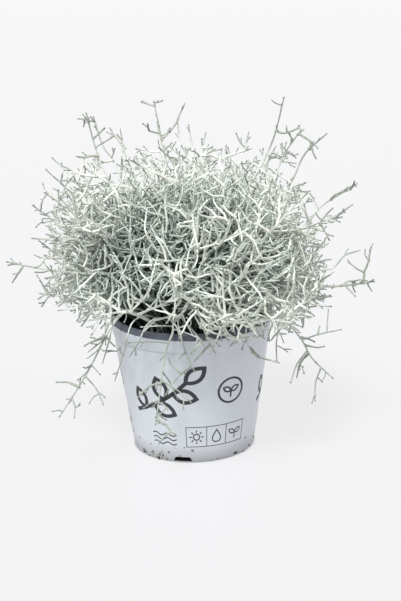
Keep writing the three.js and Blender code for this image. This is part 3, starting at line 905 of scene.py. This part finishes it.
# Tips of single sprigs that stand out of the cushion
sprigTips = [(-67, 35, 240), (-47, 15, 234), (-21, 45, 233), (-6, 40, 234), (2, 60, 227), (14, 30, 227), (46, 55, 221),
             (82, 10, 232), (99, -5, 232), (-97, 20, 214), (-100, 0, 210), (-100, -20, 198), (-111, 0, 184),
             (121, 0, 194), (117, -10, 181), (121, -20, 150), (114, 20, 168), (30, -40, 218), (-30, -50, 210)]
# Thin canes that hang over the rim: where round the pot, how far down, and how far they swing round
hanging = [(-126, 42, -16), (-101, 27, 12), (-116, 20, -12), (-66, 22, 16), (-50, 15, -9), (-84, 14, 7),
           (-143, 34, -14), (-28, 24, 10), (24, 30, 8), (58, 20, -10), (97, 36, 12), (131, 24, 8), (166, 30, -8),
           (198, 18, 10)]
hangPath = dict(radius=(0.7, 0.46), swing=(0, 0, 0.1, 0.3, 0.6, 1), reach=(27, 38, 52, 64, 67.5, 70),
                height=(89, 104, 112, 109, 108, 108), drop=(0, 0, 0, 0, 0.5, 1))
chance = random.Random(fill["seed"])
canes = []
crowd = np.zeros((62, 60, 60))  # how many canes' points lie in each cell of a grid round the bush
crowdLow = np.array([-150, -146, -20.0])


def fillShare(p):
    # As shellShare, with square shoulders, most of all on the left, and a skirt that hangs lowest at the sides
    x, y, z = p[..., 0] - fill["sideShift"], p[..., 1], p[..., 2] - growth["middle"]
    least, sides, swing, toward = fill["skirt"]
    turn = np.arctan2(y, x)
    down = least + sides * np.cos(turn) ** 2 + swing * np.cos(turn - math.radians(toward))
    tall = np.where(z > 0, growth["up"], down)
    square, lopsided = fill["shoulders"]
    power = np.where(z > 0, square - lopsided * x / growth["acrossX"], 2)
    flat = np.sqrt((x / growth["acrossX"]) ** 2 + (y / growth["acrossY"]) ** 2)
    return (flat ** power + (np.abs(z) / tall) ** power) ** (1 / power)


def inClearing(points):
    # The gap in front where the soil shows
    gap = (points - np.array(fill["clearing"])) / np.array(fill["clearingSize"])
    return ((gap * gap).sum(-1) < 1).any()


def crowdCells(points):
    cells = ((points - crowdLow) / fill["cell"]).astype(int)
    return np.clip(cells, 0, np.array(crowd.shape) - 1)


def addCane(points, radii, node, kind, free=False):
    points = np.asarray(points, float)
    steps = np.sqrt((np.diff(points, axis=0) ** 2).sum(1))
    cells = crowdCells(points)
    np.add.at(crowd, (cells[:, 0], cells[:, 1], cells[:, 2]), 1.0)
    cane = dict(points=points, radii=np.linspace(radii[0], radii[1], len(points)), node=node, kind=kind, free=free,
                lengths=np.concatenate([[0], np.cumsum(steps)]))
    canes.append(cane)
    return cane


def smoothPath(path, sag=0.0):
    # A curve through all the points of a path, with a ring every few millimetres
    path = np.asarray(path, float)
    if len(path) == 2:
        side = np.cross(path[1] - path[0], [chance.uniform(-1, 1), chance.uniform(-1, 1), chance.uniform(-1, 1)])
        path = np.array([path[0], path.mean(0) + side * sag, path[1]])
    padded = np.concatenate([[2 * path[0] - path[1]], path, [2 * path[-1] - path[-2]]])
    points = [path[0]]
    for i in range(len(path) - 1):
        a, b, c, d = padded[i:i + 4]
        parts = max(1, round(math.dist(b, c) / fill["step"]))
        for t in np.arange(1, parts + 1) / parts:
            points.append(0.5 * (2 * b + (c - a) * t + (2 * a - 5 * b + 4 * c - d) * t * t
                                 + (3 * b - a - 3 * c + d) * t ** 3))
    return np.array(points)


def takeGrown(plant):
    # A shoot as the solids have it, with thinner canes
    free, crown = plant["trailing"], plant["stem"][-1][2] > slimming["crownHeight"]
    slim = slimming["trailer"] if free else slimming["crown"] if crown else 1
    for kind, paths in (("stem", [plant["stem"]]), ("branch", plant["branches"]), ("twig", plant["twigs"])):
        for path in paths:
            radii = [r * slim for r in slimming["radii"][kind]]
            addCane(smoothPath(path, slimming["bow"]), radii, plant["node"], kind, free)


def fillStems():
    # More stems from the soil: to each sprig's tip, then spread evenly over the cushion
    roots = np.array([p["stem"][1] for p in plants])
    tips = np.array([p["stem"][-1] for p in plants])
    middle = np.array([0, 0, growth["middle"]])
    for i in range(fill["stems"] + len(sprigTips)):
        isSprig = i < len(sprigTips)
        if isSprig:
            aim = np.array(sprigTips[i]) - middle
            turn = math.atan2(aim[1], aim[0])
            flat = min(1, math.hypot(aim[0] / growth["acrossX"], aim[1] / growth["acrossY"]))
        else:
            upright = 1 - 1.16 * (i - len(sprigTips) + 0.5) / fill["stems"]
            turn = i * goldenAngle
            flat = math.sqrt(1 - upright ** 2)
            aim = np.array([flat * math.cos(turn) * growth["acrossX"], flat * math.sin(turn) * growth["acrossY"],
                            upright * (growth["up"] if upright > 0 else growth["down"])])
            aim /= fillShare(aim + middle)
        for _ in range(fill["stemTries"]):
            tip = aim * (1 if isSprig else chance.uniform(*fill["stemShare"])) + middle
            rootOut = fill["rootReach"][0] + fill["rootReach"][1] * flat * chance.uniform(0.5, 1.0)
            rootTurn = turn + chance.uniform(-fill["rootSwing"], fill["rootSwing"])
            x, y = rootOut * math.cos(rootTurn), rootOut * math.sin(rootTurn)
            start = np.array([x, y, soilHeight(x, y) + 1])
            pull = math.dist(start, tip) * fill["pull"]
            rootLean = fill["rootLean"][0] + fill["rootLean"][1] * flat
            tipLean = fill["tipLean"][0] + fill["tipLean"][1] * flat ** 2
            leave = start + direction(math.radians(rootLean), rootTurn) * pull
            arrive = tip - direction(math.radians(tipLean), turn) * pull
            arc = [arcPoint(start, leave, arrive, tip, t) for t in np.linspace(0, 1, 11)]
            arc = [p + [chance.uniform(-fill["stray"], fill["stray"]) * (0 < k < 10) for _ in range(3)]
                   for k, p in enumerate(arc)]
            if not potHit(np.array(arc[1:]), 1.5).any() and not inClearing(np.array(arc[1:])):
                break
        else:
            continue
        path = smoothPath([start - [0, 0, fill["bury"]], *arc])
        gaps = np.sqrt(((roots - start) ** 2).sum(1)) + 0.4 * np.sqrt(((tips - tip) ** 2).sum(1))
        addCane(path, fill["stemRadius"], int(gaps.argmin()), "stem")


def hangOver():
    # Out of the soil, over the rim and down the wall
    roots = np.array([p["stem"][1] for p in plants])
    share, reach, height, fall = (np.array(hangPath[key]) for key in ("swing", "reach", "height", "drop"))
    for deg, drop, swing in hanging:
        turns = np.radians(deg + swing * share)
        path = smoothPath(np.stack([reach * np.cos(turns), reach * np.sin(turns), height - drop * fall], 1))
        gaps = ((roots - path[0]) ** 2).sum(1)
        addCane(path, hangPath["radius"], int(gaps.argmin()), "stem", True)


def sprout(base, way, length, bend, limit, angles):
    # Several curved, zigzag ways for a side shoot to go; the clearest one that stays in the bush
    steps = max(2, round(length / fill["step"]))
    pull = outward(base, fill["lift"]) * bend
    best, least = None, math.inf
    first = chance.uniform(0, 2 * math.pi)
    share = np.linspace(0, 1, steps)[:, None]
    zigzag = np.where(np.arange(steps) // fill["knee"] % 2, 1, -1)[:, None] * fill["kneeBend"]
    for k in range(fill["tries"]):
        leave = fork(way, math.radians(chance.uniform(*angles)), first + k * 2 * math.pi / fill["tries"])
        curl = np.array([chance.gauss(0, fill["curl"]) for _ in range(3)]) * min(1, length / 24)
        side = unit(np.cross(leave, curl))
        drift = np.array([chance.gauss(0, fill["wobble"]) for _ in range(3 * steps)]).reshape(steps, 3)
        ways = leave + share * (pull + curl) + zigzag * side + drift
        ways /= np.sqrt((ways ** 2).sum(1))[:, None]
        path = base + np.concatenate([[[0, 0, 0]], np.cumsum(ways, axis=0) * (length / steps)])
        tip = path[-1]
        if fillShare(tip) > limit or pastReach(tip) or potHit(path[1:], fill["potGap"]).any() or inClearing(path[1:]):
            continue
        cells = crowdCells(path[1:])
        score = crowd[cells[:, 0], cells[:, 1], cells[:, 2]].mean()
        if score < least:
            best, least = path, score
    return best


def skinLimit(point):
    # How far out a shoot may end: looser on top, where the bush thins out
    rise = max(0.0, (point[2] - growth["middle"]) / growth["up"])
    return chance.uniform(fill["skinFrom"] - fill["topThin"] * rise, fill["skinTo"])


def overSoil(point):
    return point[2] < fill["soilHeight"] and math.hypot(point[0], point[1]) < fill["soilReach"]


def forkOff(hosts, kind, start, bend, zone=None):
    # Side shoots of one kind along their hosts; short and few where they stand free of the cushion
    made = []
    spacing, lengths, radii = (fill[kind + part] for part in ("Spacing", "Length", "Radius"))
    for cane in hosts:
        total = cane["lengths"][-1]
        at = start * total if zone is None else max(0.1 * total, total - zone)
        at += chance.uniform(0.2, 1) * spacing
        while at < total - 1.5:
            i = int(np.searchsorted(cane["lengths"], at)) - 1
            a, b = cane["points"][i], cane["points"][i + 1]
            base = a + (b - a) * (at - cane["lengths"][i]) / (cane["lengths"][i + 1] - cane["lengths"][i])
            at += spacing * chance.uniform(0.7, 1.3)
            length, limit = chance.uniform(*lengths), skinLimit(base)
            if kind == "branch":
                length *= 1.15 - 0.6 * at / total
            if cane["free"] or fillShare(base) > limit:
                length = min(length, chance.uniform(*fill["freeBranch" if kind == "branch" else "freeLength"]))
                limit = fill["noLimit"] if cane["free"] else fillShare(cane["points"][-1]) + 0.02
                if (kind != "spur" or cane["free"]) and chance.random() < fill["freeSkip"]:
                    continue
            bare = overSoil(base) and chance.random() < fill["soilSkip"]
            if bare or kind == "inner" and fillShare(base) > fill["innerShell"]:
                continue
            path = sprout(base, unit(b - a), length, bend, limit, fill["spurAngle" if kind == "spur" else "angle"])
            if path is not None:
                made.append(addCane(path, radii, cane["node"], kind, cane["free"]))
    return made


for plant in plants:
    takeGrown(plant)
fillStems()
hangOver()
stems = [c for c in canes if c["kind"] == "stem"]
grownBranches = [c for c in canes if c["kind"] == "branch"]
newBranches = forkOff(stems, "branch", 0.2, 0.6)
hosts = stems + grownBranches + newBranches
newTwigs = forkOff(hosts, "twig", 0.12, 0.22)
outer = [c for c in canes if fillShare(c["points"][-1]) > fill["spurShell"]]
forkOff(hosts + newTwigs, "inner", 0.15, 0.05)
forkOff(outer, "spur", 0.35, 0.3, fill["spurZone"])
print("canes:", len(canes), "metres:", round(sum(c["lengths"][-1] for c in canes) * mm, 1))


def leafShape(name, flakes):
    # Pointed scale leaves with six faces each, rooted at the origin and pointing up
    points, faces = [], []
    for lean, turn, length, width in flakes:
        first = len(points)
        rows = [(0, 0, 0)] + [(width * math.cos(a), width * math.sin(a), length * 0.42)
                              for a in np.arange(3) * 2 * math.pi / 3] + [(0, 0, length)]
        tilt = Matrix.Rotation(turn, 3, "Z") @ Matrix.Rotation(lean, 3, "Y")
        points += [tuple(tilt @ Vector(p)) for p in rows]
        for k in range(3):
            j = (k + 1) % 3
            faces += [(first, first + 1 + j, first + 1 + k), (first + 1 + k, first + 1 + j, first + 4)]
    return meshObject(name, np.array(points) / mm, faces, [])


def shootTree():
    # Tubes along the canes, scale leaves on the young wood and a bud on each tip
    tree, given, result = newTree("shootTree", {"Sides": "Int", "Leaf Spacing": "Float", "Leaf Length": "Float",
                                                "Leaf Width": "Float", "Leaf Lean": "Float", "Bud Length": "Float",
                                                "Seed": "Int", "Felt": "Material", "Leaf": "Object", "Bud": "Object"})
    curves = addNode(tree, "GeometryNodeMeshToCurve", {0: given})
    thickness = addNode(tree, "GeometryNodeInputNamedAttribute", {"Name": "thickness"}, data_type="FLOAT")
    ring = addNode(tree, "GeometryNodeCurvePrimitiveCircle", {"Resolution": out(given, "Sides"), "Radius": 1.0})
    tube = addNode(tree, "GeometryNodeCurveToMesh", {"Curve": curves, "Profile Curve": ring,
                                                     "Scale": thickness, "Fill Caps": True})
    smooth = addNode(tree, "GeometryNodeSetShadeSmooth", {"Geometry": tube})

    spots = addNode(tree, "GeometryNodeCurveToPoints", {"Curve": curves, "Length": out(given, "Leaf Spacing")},
                    mode="LENGTH")
    leafy = addNode(tree, "GeometryNodeInputNamedAttribute", {"Name": "leafy"}, data_type="FLOAT")
    luck = addNode(tree, "FunctionNodeRandomValue", {"Min": 0.0, "Max": 1.0, "Seed": out(given, "Seed")})
    chosen = addNode(tree, "FunctionNodeCompare", {"A": luck, "B": leafy}, operation="LESS_THAN")
    about = addNode(tree, "FunctionNodeRandomValue", {"Min": 0.0, "Max": 6.283, "Seed": out(given, "Seed")})
    turned = addNode(tree, "FunctionNodeAxisAngleToRotation", {"Axis": (0, 0, 1), "Angle": about})
    leaned = addNode(tree, "FunctionNodeAxisAngleToRotation", {"Axis": (0, 1, 0), "Angle": out(given, "Leaf Lean")})
    facing = addNode(tree, "FunctionNodeRotateRotation", {"Rotation": out(spots, "Rotation"), "Rotate By": turned},
                     rotation_space="LOCAL")
    leaning = addNode(tree, "FunctionNodeRotateRotation", {"Rotation": facing, "Rotate By": leaned},
                      rotation_space="LOCAL")
    size = addNode(tree, "ShaderNodeCombineXYZ", {"X": out(given, "Leaf Width"), "Y": out(given, "Leaf Width"),
                                                 "Z": out(given, "Leaf Length")})
    vary = addNode(tree, "FunctionNodeRandomValue", {"Min": 0.75, "Max": 1.25, "Seed": out(given, "Seed")})
    scale = addNode(tree, "ShaderNodeVectorMath", {0: size, "Scale": vary}, operation="SCALE")
    leaf = addNode(tree, "GeometryNodeObjectInfo", {"Object": out(given, "Leaf")})
    leaves = addNode(tree, "GeometryNodeInstanceOnPoints",
                     {"Points": spots, "Selection": chosen, "Instance": out(leaf, "Geometry"),
                      "Rotation": leaning, "Scale": scale})

    ends = addNode(tree, "GeometryNodeCurveToPoints", {"Curve": curves}, mode="EVALUATED")
    budded = addNode(tree, "GeometryNodeInputNamedAttribute", {"Name": "budded"}, data_type="FLOAT")
    atTip = addNode(tree, "FunctionNodeCompare", {"A": budded, "B": 0.01}, operation="GREATER_THAN")
    swell = addNode(tree, "ShaderNodeMath", {0: budded, 1: out(given, "Bud Length")}, operation="MULTIPLY")
    spin = addNode(tree, "FunctionNodeRotateRotation", {"Rotation": out(ends, "Rotation"), "Rotate By": turned},
                   rotation_space="LOCAL")
    bud = addNode(tree, "GeometryNodeObjectInfo", {"Object": out(given, "Bud")})
    buds = addNode(tree, "GeometryNodeInstanceOnPoints",
                   {"Points": ends, "Selection": atTip, "Instance": out(bud, "Geometry"),
                    "Rotation": spin, "Scale": swell})

    joined = addNode(tree, "GeometryNodeJoinGeometry", {0: smooth})
    tree.links.new(out(leaves), joined.inputs[0])
    tree.links.new(out(buds), joined.inputs[0])
    real = addNode(tree, "GeometryNodeRealizeInstances", {0: joined})
    painted = addNode(tree, "GeometryNodeSetMaterial", {"Geometry": real, "Material": out(given, "Felt")})
    tree.links.new(out(painted), result.inputs[0])
    return tree


def ramp(value, start, span):
    # 0 up to the start, 1 from the end of the span
    return np.clip((value - start) / span, 0, 1)


# Where each colour starts and over what span it comes in: shares of the cushion's shell, or mm
felting = dict(toneShell=(0.3, 0.5), toneCurve=1.1, lowShadeHeight=132, lowShadeSpan=32, lowShadeReach=57, lowShadeShare=0.8,
               flankShade=(66, 44), flankShadeShare=0.4, oldRadius=(0.6, 0.4), oldShell=(0.45, 0.35), oldShare=0.8,
               youngEnd=8, youngShell=(0.7, 0.25), skinShell=(0.92, 0.16), skinShadeShare=0.9,
               leafEnd=20, leafShell=(0.5, 0.25), leafLeast=0.14, leafMore=0.5, budShell=0.55, innerBud=0.65,
               knobs=(-0.14, 0.16), foot=1.25, end=0.8, shades=(0.86, 1.1))


def caneValues(cane):
    # Colour and growth along one cane, from its place in the bush
    f, points, count = felting, cane["points"], len(cane["points"])
    left = cane["lengths"][-1] - cane["lengths"]
    shell = fillShare(points)
    # Painted shade low in the bush over the soil: canes below 132 mm and within 57 mm of the axis go darker and lose
    # their cream
    lowShade = np.clip((f["lowShadeHeight"] - points[:, 2]) / f["lowShadeSpan"], 0, 1)
    lowShade = lowShade * (np.hypot(points[:, 0], points[:, 1]) < f["lowShadeReach"])
    # Painted shade on the bush's left and right flanks: tone falls from 66 mm out to the sides
    flankShade = ramp(np.abs(points[:, 0]), *f["flankShade"])
    # tone mixes from the inner green to the white felt towards the cushion's skin: partly greener inner wood, partly
    # painted shade of the bush's depth
    tone = ramp(shell, *f["toneShell"]) ** f["toneCurve"] * (1 - f["lowShadeShare"] * lowShade) * (1 - f["flankShadeShare"] * flankShade)
    old = ramp(cane["radii"], *f["oldRadius"]) * ramp(shell, *f["oldShell"]) * (1 - lowShade)
    # Olive at the tips is the young growth's own colour; the same olive-grey on canes beyond the cushion's skin is
    # painted shade
    oliveTipsAndSkinShade = np.maximum(np.clip(1 - left / f["youngEnd"], 0, 1) * ramp(shell, *f["youngShell"]),
                       f["skinShadeShare"] * ramp(shell, *f["skinShell"]))
    knobs = [1 + chance.uniform(*f["knobs"]) for _ in range(count)]
    thickness = cane["radii"] * knobs
    thickness[0] *= f["foot"]
    thickness[-1] *= f["end"]
    leafy = f["leafLeast"] + f["leafMore"] * np.clip(1 - left / f["leafEnd"], 0, 1) * ramp(shell, *f["leafShell"])
    budded = np.zeros(count)
    budded[-1] = 1.0 if shell[-1] > f["budShell"] else f["innerBud"]
    shade = np.full(count, chance.uniform(*f["shades"]))
    return thickness * mm, tone, old * f["oldShare"], oliveTipsAndSkinShade, leafy, budded, shade


dressing = {"Sides": 5, "Leaf Spacing": 2.2 * mm, "Leaf Length": 1.9 * mm, "Leaf Width": 0.36 * mm, "Leaf Lean": 0.36,
            "Bud Length": 2.7 * mm}


def makeShoot(node):
    # All canes of one rooted shoot, as one piece
    own = [c for c in canes if c["node"] == node]
    points = np.concatenate([c["points"] for c in own])
    values = [np.concatenate(v) for v in zip(*(caneValues(c) for c in own))]
    edges, first = [], 0
    for cane in own:
        count = len(cane["points"])
        edges += [(first + i, first + i + 1) for i in range(count - 1)]
        first += count
    piece = meshObject("bush_shoot_%02d" % (node + 1), points, [], [], edges=edges)
    for name, value in zip(("thickness", "tone", "cream", "oliveTipsAndSkinShade", "leafy", "budded", "shade"), values):
        storeFloats(piece.data, name, value)
    bakeTree(piece, shootNodes, {**dressing, "Seed": 7 + node, "Felt": feltedStem, "Leaf": leafFlake,
                                 "Bud": budCluster})
    return piece


leafFlake = leafShape("leafFlake", [(0, 0, 1, 1)])
budCluster = leafShape("budCluster", [(0, 0, 1, 0.21), (0.42, 0, 0.72, 0.16), (0.42, math.pi, 0.6, 0.16)])
shootNodes = shootTree()
faceCount = 0
for node in range(len(shoots)):
    piece = makeShoot(node)
    faceCount += sum(len(p.vertices) - 2 for p in piece.data.polygons)
    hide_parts("shoot_%02d" % (node + 1))
    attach(piece, "root")
print("bush made:", faceCount, "triangles")

for helper in (leafFlake, budCluster, grain):
    dropObject(helper)


# Floor, light and background

studio = dict(floorSize=9, floorDrop=0.05, worldHex="#f8f8f8", worldStrength=0.42,
              keyTilt=(28, -12, 0), keySpread=18, keyPower=4.1,
              boxes=[(-1.05, 0.25, 0.6, 1.9), (1.05, 0.0, 0.6, 3.3)], boxSize=0.9, boxAim=(0, 0, 0.12))


def addLamp(name, kind, **settings):
    data = bpy.data.lights.new(name, kind)
    for key, value in settings.items():
        setattr(data, key, value)
    return placeObject(name, data)


def makeStudio():
    half = studio["floorSize"] / 2 / mm
    z = -studio["floorDrop"]
    floor = meshObject("studio_floor", [(-half, -half, z), (half, -half, z), (half, half, z), (-half, half, z)],
                       [(0, 1, 2, 3)], [floorMaterial()], smooth=False)
    lamp = addLamp("keySky", "SUN", angle=math.radians(studio["keySpread"]), energy=studio["keyPower"])
    lamp.rotation_euler = [math.radians(a) for a in studio["keyTilt"]]
    for x, y, z, power in studio["boxes"]:
        lamp = addLamp("sideBox", "AREA", shape="SQUARE", size=studio["boxSize"], energy=power)
        lamp.location = (x, y, z)
        lamp.rotation_euler = (Vector(studio["boxAim"]) - lamp.location).to_track_quat("-Z", "Y").to_euler()
        lamp.visible_camera = False
    world = bpy.data.worlds.new("studioWhite")
    world.use_nodes = True
    sky = world.node_tree.nodes["Background"]
    sky.inputs["Color"].default_value = linear(studio["worldHex"])
    sky.inputs["Strength"].default_value = studio["worldStrength"]
    bpy.context.scene.world = world
    bpy.context.scene.view_settings.view_transform = "Standard"


makeStudio()
print("studio made")
